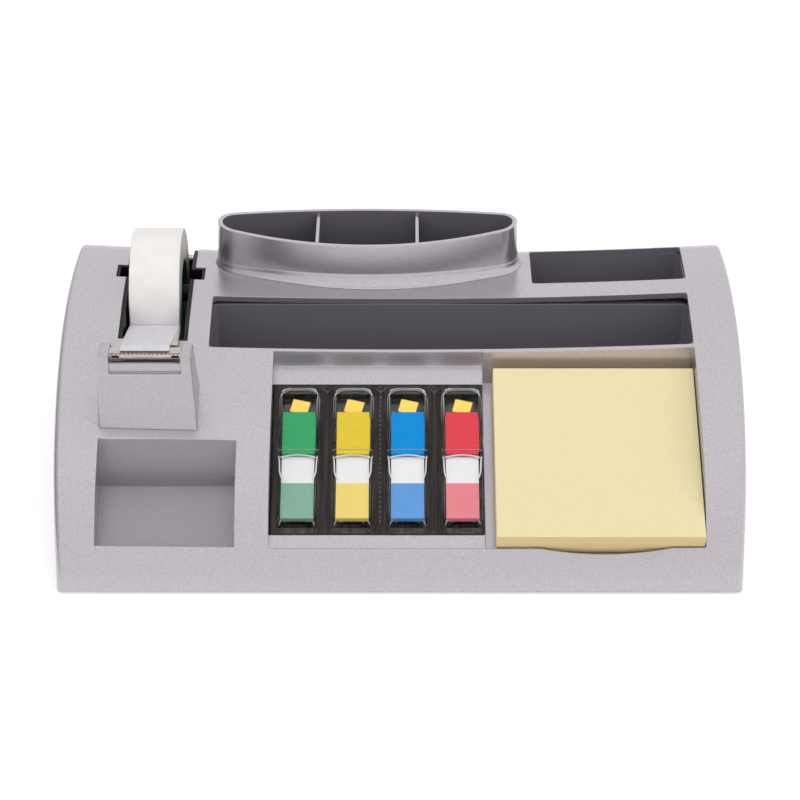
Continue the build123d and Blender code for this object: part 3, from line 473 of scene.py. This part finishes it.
def woundMattTape(s):
    material, tree = newMaterial("woundMattTape")
    place = addNode(tree, "ShaderNodeTexCoord")
    flat = addNode(tree, "ShaderNodeVectorMath", {1: (0, 1, 1)}, {0: place.outputs["Object"]},
                   operation="MULTIPLY")
    away = addNode(tree, "ShaderNodeVectorMath", {1: (0, s["axis"][0] * mm, s["axis"][1] * mm)},
                   {0: flat.outputs[0]}, operation="DISTANCE")
    turns = addNode(tree, "ShaderNodeMath", {1: 1 / (s["ringMm"] * mm)}, {0: away.outputs["Value"]},
                    operation="MULTIPLY")
    rings = addNode(tree, "ShaderNodeTexNoise", {"Scale": 1.0, "Detail": 4.0, "Roughness": 0.7},
                    {"W": turns.outputs[0]}, noise_dimensions="1D")
    side = addNode(tree, "ShaderNodeValToRGB", None, {"Fac": rings.outputs["Fac"]},
                   zip(wideBlend, s["sides"]))
    cloud = addNode(tree, "ShaderNodeTexNoise", {"Scale": 1 / (s["cloudMm"] * mm), "Detail": 2.0},
                    {"Vector": place.outputs["Object"]})
    face = addNode(tree, "ShaderNodeValToRGB", None, {"Fac": cloud.outputs["Fac"]},
                   zip(softBlend, s["face"]))
    facing = addNode(tree, "ShaderNodeNewGeometry")
    parts = addNode(tree, "ShaderNodeSeparateXYZ", None, {0: facing.outputs["True Normal"]})
    sideways = addNode(tree, "ShaderNodeMath", None, {0: parts.outputs["X"]}, operation="ABSOLUTE")
    onSide = addNode(tree, "ShaderNodeMath", {1: s["sideFacing"]}, {0: sideways.outputs[0]},
                     operation="GREATER_THAN")
    colour = addNode(tree, "ShaderNodeMix", None, {
        0: onSide.outputs[0], 6: face.outputs["Color"], 7: side.outputs["Color"]}, data_type="RGBA")
    height = addNode(tree, "ShaderNodeMath", None, {0: rings.outputs["Fac"], 1: onSide.outputs[0]},
                     operation="MULTIPLY")
    strength, depth = s["ringBump"]
    bump = addNode(tree, "ShaderNodeBump", {"Strength": strength, "Distance": depth * mm},
                   {"Height": height.outputs[0]})
    shader = addNode(tree, "ShaderNodeBsdfPrincipled", {"Roughness": s["roughness"], "IOR": 1.48},
                     {"Base Color": colour.outputs[2], "Normal": bump.outputs["Normal"]})
    addNode(tree, "ShaderNodeOutputMaterial", None, {"Surface": shader.outputs[0]})
    return material


woundTape = woundMattTape(tapeRoll)

# clear sheet and film: tint, roughness, IOR, and how clear it is
clearFinishes = {
    # only its bends show; PET has 1.575, but so thin a sheet hardly bends light
    "thermoformedClearPet": ("#FCFDFE", 0.05, 1.09, 1.0),
    "whiteHighlightPet": ("#EEF0F2", 0.25, 1.575, 0.25),      # painted highlight: white where the cut edges catch light
    "faintHighlightPet": ("#D8DADC", 0.25, 1.575, 0.75),     # painted highlight, fainter, along the bent edges
    "clearTapeFold": ("#EDEADF", 0.25, 1.575, 0.6),    # warm and milky, where the tape stands on its side
}
trayPvc = {
    # the lighter of the two tones is partly painted sheen along the ripples
    "tones": ("#120F0F", "#3C3431"),
    "roughness": 0.24,
    "gloss": 0.24,            # finely scratched, so it shines little
    "streakMm": 1.3,          # draw lines of the heated sheet, which run up the slope, their lighter tone partly painted sheen
    "streakLengthMm": 25.0,
    "streakBump": (0.8, 0.12),    # strength, and height in mm
    "edgeMm": 0.8,
}


def clearSheet(name, tint, roughness, ior, clearness):
    material, tree = newMaterial(name)
    shader = addNode(tree, "ShaderNodeBsdfPrincipled", {
        "Base Color": srgb(tint), "Roughness": roughness, "IOR": ior, "Transmission Weight": clearness})
    addNode(tree, "ShaderNodeOutputMaterial", None, {"Surface": shader.outputs[0]})
    return material


def thermoformedBlackPvc(s):  # shiny, softly rippled up the slope; the lighter streaks in its colour are partly painted sheen
    material, tree = newMaterial("thermoformedBlackPvc")
    place = addNode(tree, "ShaderNodeTexCoord")
    along = 1 / (s["streakLengthMm"] * mm)
    stretch = addNode(tree, "ShaderNodeMapping", {"Scale": (1 / (s["streakMm"] * mm), along, along)},
                      {"Vector": place.outputs["Object"]})
    streaks = addNode(tree, "ShaderNodeTexNoise", {"Scale": 1.0, "Detail": 3.0, "Roughness": 0.6},
                      {"Vector": stretch.outputs[0]})
    colour = addNode(tree, "ShaderNodeValToRGB", None, {"Fac": streaks.outputs["Fac"]},
                     zip(wideBlend, s["tones"]))
    rounded = addNode(tree, "ShaderNodeBevel", {"Radius": s["edgeMm"] * mm}, samples=6)
    strength, height = s["streakBump"]
    bump = addNode(tree, "ShaderNodeBump", {"Strength": strength, "Distance": height * mm},
                   {"Height": streaks.outputs["Fac"], "Normal": rounded.outputs["Normal"]})
    shader = addNode(tree, "ShaderNodeBsdfPrincipled", {
        "Roughness": s["roughness"], "IOR": 1.53, "Specular IOR Level": s["gloss"]},
        {"Base Color": colour.outputs["Color"], "Normal": bump.outputs["Normal"]})
    addNode(tree, "ShaderNodeOutputMaterial", None, {"Surface": shader.outputs[0]})
    return material


for name, values in clearFinishes.items():
    finish[name] = clearSheet(name, *values)
blackTray = thermoformedBlackPvc(trayPvc)
print("finishes made")

# the CAD nodes get their finishes
nodeFinish = {
    "housing": silverHousing,
    "pen_cup": silverCup,
    "cutter_block": silverBlock,
    "drawer_front": silverPlain,
    "drawer": finish["mouldedGreyAbs"],
    "base_plate": finish["mouldedGreyAbs"],
    "well_liner": finish["mouldedBlackAbs"],
    "roll_axle": finish["mouldedBlackAbs"],
    "roll_hub": finish["mouldedBlackAbs"],
    "flag_tray": blackTray,
    "feet": finish["mouldedRubber"],
    "base_screws": finish["zincPlatedSteel"],
    "ballast_weight": finish["hotRolledSteel"],
    "cutter_blade": bladeSteel,
    "tape_core": finish["greenPolystyrene"],
    "tape_roll": woundTape,
    "tape_tail": finish["mattFilmEnd"],
}
for number in range(1, 5):
    nodeFinish[f"flag_cover_{number}"] = finish["thermoformedClearPet"]
for node, material in nodeFinish.items():
    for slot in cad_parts[node].material_slots:
        slot.material = material
print("finishes set")

# note pad: a block of thin sheets, glued at the back, their edges not quite flush
pad = {
    "tilt": 24.4,
    "size": 76.2,
    "height": 10.0,
    "sheets": 26,             # a real pad has about 100, drawn in bundles so that their edges show
    "sheetShare": 0.93,       # the rest of a sheet's thickness is the gap that shows as a line
    "inset": 0.14,
    "drift": 0.12,
    "seed": 3,
    "face": ("#EADBAA", "#F1E4B8"),
    "edge": ("#EFD69B", "#F9E5B1"),
    "faceUp": 0.9,            # what faces up the block at least so much is a sheet's face
    "fibreMm": (0.8, 0.4),    # on the face and on the cut edges
    "fibreBump": (0.25, 0.03),    # strength, and height in mm
    "roughness": 0.85,
    "shine": 0.3,
}


def uncoatedPaper(s, name, dark, light, fibreMm):  # uncoated tinted paper: quite matt, with faint fibres
    material, tree = newMaterial(name)
    place = addNode(tree, "ShaderNodeTexCoord")
    fibres = addNode(tree, "ShaderNodeTexNoise", {
        "Scale": 1 / (fibreMm * mm), "Detail": 4.0, "Roughness": 0.65}, {"Vector": place.outputs["Object"]})
    colour = addNode(tree, "ShaderNodeValToRGB", None, {"Fac": fibres.outputs["Fac"]},
                     zip(wideBlend, (dark, light)))
    strength, height = s["fibreBump"]
    bump = addNode(tree, "ShaderNodeBump", {"Strength": strength, "Distance": height * mm},
                   {"Height": fibres.outputs["Fac"]})
    shader = addNode(tree, "ShaderNodeBsdfPrincipled", {
        "Roughness": s["roughness"], "IOR": 1.47, "Specular IOR Level": s["shine"]},
        {"Base Color": colour.outputs["Color"], "Normal": bump.outputs["Normal"]})
    addNode(tree, "ShaderNodeOutputMaterial", None, {"Surface": shader.outputs[0]})
    return material


def makePad(s):
    low, high = [Vector(corner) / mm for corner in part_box("note_pad")]
    drop = s["height"] * math.sin(math.radians(s["tilt"]))
    plane = slopeMatrix((low.x, low.y + drop, low.z), s["tilt"])
    dice = random.Random(s["seed"])
    bm = bmesh.new()
    thick = s["height"] / s["sheets"]
    near, far = s["inset"], s["size"] - s["inset"]
    for sheet in range(s["sheets"]):
        shiftX, shiftY = [dice.uniform(-1, 1) * s["drift"] for axis in "xy"]
        base = sheet * thick
        top = base + thick * s["sheetShare"]
        addSlab(bm, (near + shiftX, near + shiftY, base), (far + shiftX, far + shiftY, top), plane)
    up = (plane.to_3x3() @ Vector((0, 0, 1))).normalized()
    bm.normal_update()
    for face in bm.faces:
        face.material_index = 0 if abs(face.normal.dot(up)) > s["faceUp"] else 1
    faceMm, edgeMm = s["fibreMm"]
    papers = [uncoatedPaper(s, "uncoatedYellowPaper", *s["face"], faceMm),
              uncoatedPaper(s, "cutPaperEdges", *s["edge"], edgeMm)]
    makeObject("noteSheets", bm, papers, "pad", ["note_pad"])


makePad(pad)
print("note pad made")

# painted shadow: black strips under the blade, which darken the flange's two slots and the shade line in
# front of the flange's foot
bladeShadeStrips = {
    "x": (-106.4, -80.0),
    "slotInset": 2.1,
    "slotHalf": 1.6,
    "slotY": (-35.9, -35.6),
    "slotZ": (74.5, 75.9),
    "footInset": 0.6,
    "footY": (-37.4, -36.5),
    "footZ": (73.6, 73.72),
}


def makeBladeShadeStrips(s):
    bm = bmesh.new()
    left, right = s["x"]
    flat = Matrix.Scale(mm, 4)
    places = [(middle - s["slotHalf"], middle + s["slotHalf"], s["slotY"], s["slotZ"])
              for middle in (left + s["slotInset"], right - s["slotInset"])]
    places.append((left + s["footInset"], right - s["footInset"], s["footY"], s["footZ"]))
    # each black piece is painted shadow: in the slots, and along the gap under the flange
    for x0, x1, (y0, y1), (z0, z1) in places:
        addSlab(bm, (x0, y0, z0), (x1, y1, z1), flat)
    makeObject("bladeShadeStrips", bm, [finish["mouldedBlackAbs"]], "organizer")


makeBladeShadeStrips(bladeShadeStrips)
print("blade bed made")

# the tape twists a little on its way to the blade, so that a clear fold stands out at its right side
fold = {
    "top": (-85.36, 17.0, 59.1),
    "bottom": (-85.36, -31.0, 77.25),
    "reach": ((0.5, 0, -0.1), (3.8, 0, -0.2)),     # how far it stands out at its top and bottom end
    "thick": 0.08,
}


def makeTailFold(s):
    top, bottom = Vector(s["top"]), Vector(s["bottom"])
    topReach, bottomReach = [Vector(reach) for reach in s["reach"]]
    corners = [top, bottom, bottom + bottomReach, top + topReach]
    thick = Vector((0, 0, s["thick"]))
    bm = bmesh.new()
    lower = [bm.verts.new(corner * mm) for corner in corners]
    upper = [bm.verts.new((corner + thick) * mm) for corner in corners]
    addPrism(bm, lower, upper)
    makeObject("tailFold", bm, [finish["clearTapeFold"]], "reel_axle")


makeTailFold(fold)
print("tail fold made")

# index flags in their clear covers; places are counted in mm up the slope from the lip of the recess
flags = {
    "origin": (0.0, -73.8, 15.63),
    "tilt": 27.1,
    "firstX": -37.8,
    "pitch": 20.35,
    "width": 12.0,
    "ends": (11.8, 57.1),
    "windowEnds": (26.8, 38.3),         # where the matt white middle of the film shows
    "slotStart": 39.8,
    "packTop": 2.38,
    "packDepth": 2.5,
    "sheets": 6,
    "sheetShare": 0.8,                  # the rest of a sheet's thickness is gap
    "sheetDrift": 0.16,
    "seed": 7,
    "onTop": 3.66,                      # height of the film that is pulled out through the slot
    "film": 0.1,
    "pulled": (                         # aside, start after the slot's, short of the end, lower, curl
        (0.0, -1.0, 0.0, 0.0, 0.09),
        (0.35, 0.0, 2.6, 0.13, 0.04),
    ),
    "stepUp": (-1.05, -0.95, -0.1),     # film that rises through the slot: start, end, and its foot
    "curlSteps": 14,
    "mark": (0.3, 60.4, 6.6, 5.6, -14.0),   # plain yellow patch: aside, up the slope, width, height, turn
    "markHeight": (2.2, 2.3),
}

# painted highlights: bright beads along the bends and cut edges of one clear cover: across from its middle,
# up the slope, height, in mm
coverHighlight = {
    "half": 7.45,
    "far": 69.4,
    "corner": 4.6,
    "cornerSteps": 9,
    "leg": 9.0,                         # straight part on each side of the arch
    "archHeight": 0.5,
    "archRadius": (0.04, 0.17),
    "mirrored": (                       # points, radii, and 0 for a white or 1 for a faint highlight
        (((7.45, 14.1, 0.5), (7.45, 24.0, 0.5), (7.45, 55.8, 0.5)), (0.06, 0.12, 0.05), 1),
        (((4.9, 11.2, 2.6), (6.0, 10.6, 2.2), (6.6, 9.2, 1.4)), (0.15, 0.26, 0.12), 1),
        (((7.25, 38.0, 3.35), (6.9, 36.0, 3.45), (6.7, 31.0, 3.45), (6.1, 28.9, 3.4), (5.6, 28.0, 3.3)),
         (0.2, 0.3, 0.3, 0.26, 0.1), 0),
    ),
    "lip": (37.2, 38.5),                # ends and middle of the curved lower lip of the slot
    "lipHalf": 7.0,
    "lipHeight": 3.4,
    "lipSteps": 12,
    "lipRadius": (0.15, 0.3),
    "across": ((-7.5, 40.5, 3.3), (-6.4, 40.55, 3.95), (6.4, 40.55, 3.95), (7.5, 40.5, 3.3)),
    "acrossRadius": (0.2, 0.12, 0.12, 0.2),
}

ink = {
    "white": ("#CFCDCD", "#D7D5D5"),    # film without ink
    "mark": ("#E8BE50", "#F2CC60"),
    "blend": (0.25, 0.75),              # even gentler, because ink is only a little cloudy
    "cloudMm": 1.5,
    "bump": (0.2, 0.01),                # strength, and height in mm
    "roughness": 0.45,
    "shine": 0.12,
}
flagInks = (  # name, printed end of the film, the same ink seen through the film above it
    ("Green", ("#37A063", "#40A96D"), ("#709783", "#7A9F8C")),
    ("Yellow", ("#DFC233", "#E7CB42"), ("#D2B75D", "#DABF6C")),
    ("Blue", ("#0088D4", "#0490DC"), ("#4F84BC", "#5A8EC6")),
    ("Red", ("#DB3E4A", "#E34954"), ("#CB6F75", "#D27B80")),
)


def filmStrip(bm, x, ends, height, curl, plane, s):  # film whose far end curls up
    rows = []
    for step in range(s["curlSteps"] + 1):
        t = step / s["curlSteps"]
        along = ends[0] + (ends[1] - ends[0]) * t
        rise = height + curl * t * t
        rows.append([bm.verts.new(plane @ Vector((x + side * s["width"] / 2, along, rise + up)))
                     for side, up in ((-1, 0), (1, 0), (1, s["film"]), (-1, s["film"]))])
    for first, second in zip(rows, rows[1:]):
        for i in range(4):
            j = (i + 1) % 4
            bm.faces.new((first[i], first[j], second[j], second[i]))
    bm.faces.new(rows[0][::-1])
    bm.faces.new(rows[-1])


def printedFilm(s, name, dark, light):  # matt coated film with an even ink, a little cloudy
    material, tree = newMaterial(name)
    place = addNode(tree, "ShaderNodeTexCoord")
    cloud = addNode(tree, "ShaderNodeTexNoise", {
        "Scale": 1 / (s["cloudMm"] * mm), "Detail": 3.0, "Roughness": 0.6},
        {"Vector": place.outputs["Object"]})
    colour = addNode(tree, "ShaderNodeValToRGB", None, {"Fac": cloud.outputs["Fac"]},
                     zip(s["blend"], (dark, light)))
    strength, height = s["bump"]
    bump = addNode(tree, "ShaderNodeBump", {"Strength": strength, "Distance": height * mm},
                   {"Height": cloud.outputs["Fac"]})
    shader = addNode(tree, "ShaderNodeBsdfPrincipled", {
        "Roughness": s["roughness"], "IOR": 1.5, "Specular IOR Level": s["shine"]},
        {"Base Color": colour.outputs["Color"], "Normal": bump.outputs["Normal"]})
    addNode(tree, "ShaderNodeOutputMaterial", None, {"Surface": shader.outputs[0]})
    return material


def packMesh(s, plane, x, dice):
    bm = bmesh.new()
    half = s["width"] / 2
    thick = s["packDepth"] / s["sheets"]
    low, high = s["ends"]
    windowLow, windowHigh = s["windowEnds"]
    for sheet in range(s["sheets"]):
        top = s["packTop"] - sheet * thick
        base = top - thick * s["sheetShare"]
        drift = dice.uniform(-1, 1) * s["sheetDrift"] if sheet else 0.0
        end = dice.uniform(0, 1) * s["sheetDrift"] if sheet else 0.0
        spans = ((low + end, windowLow, 2), (windowLow, windowHigh, 1), (windowHigh, high - end, 0))
        for start, stop, kind in spans:
            addSlab(bm, (x - half + drift, start, base), (x + half + drift, stop, top), plane, kind)
    for aside, start, short, lower, curl in s["pulled"]:
        filmStrip(bm, x + aside, (s["slotStart"] + start, high - short), s["onTop"] - lower, curl, plane, s)
    start, stop, foot = s["stepUp"]
    addSlab(bm, (x - half, s["slotStart"] + start, s["packTop"] + foot),
            (x + half, s["slotStart"] + stop, s["onTop"]), plane)
    return bm


def coverHighlightMesh(s, plane, x):
    bm = bmesh.new()
    half, corner, top = s["half"], s["corner"], s["archHeight"]
    foot = s["far"] - corner - s["leg"]
    arch = [(x - half, foot, top)]
    for side, start in ((-1, math.pi), (1, math.pi / 2)):
        for step in range(s["cornerSteps"]):
            angle = start - math.pi / 2 * step / (s["cornerSteps"] - 1)
            arch.append((x + side * (half - corner) + corner * math.cos(angle),
                         s["far"] - corner + corner * math.sin(angle), top))
    arch.append((x + half, foot, top))
    thin, thick = s["archRadius"]
    addBead(bm, arch, [thin] + [thick] * (len(arch) - 2) + [thin], plane)
    for side in (-1, 1):
        for points, radii, kind in s["mirrored"]:
            addBead(bm, [(x + side * across, along, up) for across, along, up in points], radii, plane, kind)
    end, middle = s["lip"]
    lip = []
    for step in range(s["lipSteps"] + 1):
        t = step / s["lipSteps"] * 2 - 1
        lip.append((x + t * s["lipHalf"], middle - (middle - end) * t * t, s["lipHeight"]))
    thin, thick = s["lipRadius"]
    addBead(bm, lip, [thin] + [thick] * (len(lip) - 2) + [thin], plane)
    addBead(bm, [(x + across, along, up) for across, along, up in s["across"]], s["acrossRadius"], plane, 1)
    return bm


def makeFlags(s):
    plane = slopeMatrix(s["origin"], s["tilt"])
    dice = random.Random(s["seed"])
    filmWhite = printedFilm(ink, "uncolouredMattFilm", *ink["white"])
    markInk = printedFilm(ink, "plainYellowMark", *ink["mark"])
    aside, middle, width, height, turn = s["mark"]
    low, high = s["markHeight"]
    for number, (name, vivid, pale) in enumerate(flagInks):
        x = s["firstX"] + number * s["pitch"]
        films = [printedFilm(ink, f"printedFilm{name}", *vivid), filmWhite,
                 printedFilm(ink, f"veiledFilm{name}", *pale)]
        makeObject(f"flagPack{name}", packMesh(s, plane, x, dice), films, "flag_set",
                   [f"flag_stack_{number + 1}"])
        bm = bmesh.new()
        addSlab(bm, (x + aside - width / 2, middle - height / 2, low),
                (x + aside + width / 2, middle + height / 2, high), plane, 0, turn)
        makeObject(f"coverMark{number + 1}", bm, [markInk], "flag_set")
        # thin white beads stand in for the highlights on each cover's edges
        makeObject(f"coverHighlights{number + 1}", coverHighlightMesh(coverHighlight, plane, x),
                   [finish["whiteHighlightPet"], finish["faintHighlightPet"]], "flag_set", smooth=True)


makeFlags(flags)
print("flags made")

# relief of the black tray: ribs between the troughs, a row of tear perforations and notches at its upper edge
trayRelief = {
    "gaps": 3,
    "ribOffsets": (-2.35, -1.0, 1.15, 2.3),   # across, from the middle between two troughs, mm
    "ribEnds": (8.2, 69.8),
    "ribSteps": 6,
    "ribSides": 10,
    "ribRadius": 0.42,
    "ribDrop": 0.24,                          # how deep a rib's middle lies under the tray's face
    "notch": (1.9, 1.7),                      # half width and height of a notch
    "notchPlace": (0.3, 0.05),                # past the ribs' upper ends, and over the tray's face
    "notchRadii": (0.1, 0.2, 0.1),
    "tearGap": 1,                             # the perforation runs between the second and the third cover
    "tearInset": (3.0, 1.0),                  # from the ribs' lower and upper ends
    "tearPitch": 2.1,
    "tearSize": (0.32, 0.95),                 # across and along
    "tearHeight": (-0.05, 0.1),
}


def makeTrayRelief(s, f):
    plane = slopeMatrix(f["origin"], f["tilt"])
    bm = bmesh.new()
    low, high = s["ribEnds"]
    wide, tall = s["notch"]
    past, over = s["notchPlace"]
    for gap in range(s["gaps"]):
        x = f["firstX"] + (gap + 0.5) * f["pitch"]
        for offset in s["ribOffsets"]:
            points = [(x + offset, low + (high - low) * k / s["ribSteps"], -s["ribDrop"])
                      for k in range(s["ribSteps"] + 1)]
            addBead(bm, points, [s["ribRadius"]] * len(points), plane, 0, s["ribSides"])
        edge = high + past
        notch = [(x - wide, edge, over), (x, edge - tall, over), (x + wide, edge, over)]
        addBead(bm, notch, s["notchRadii"], plane, 1)
    x = f["firstX"] + (s["tearGap"] + 0.5) * f["pitch"]
    across, along = s["tearSize"]
    bottom, top = s["tearHeight"]
    start, rest = s["tearInset"]
    for k in range(int((high - low - start - rest) / s["tearPitch"])):
        y = low + start + k * s["tearPitch"]
        addSlab(bm, (x - across / 2, y, bottom), (x + across / 2, y + along, top), plane, 1)
    makeObject("trayRelief", bm, [blackTray, finish["scoredPvcEdge"]], "flag_set",
               smooth=True)


makeTrayRelief(trayRelief, flags)
print("tray relief made")
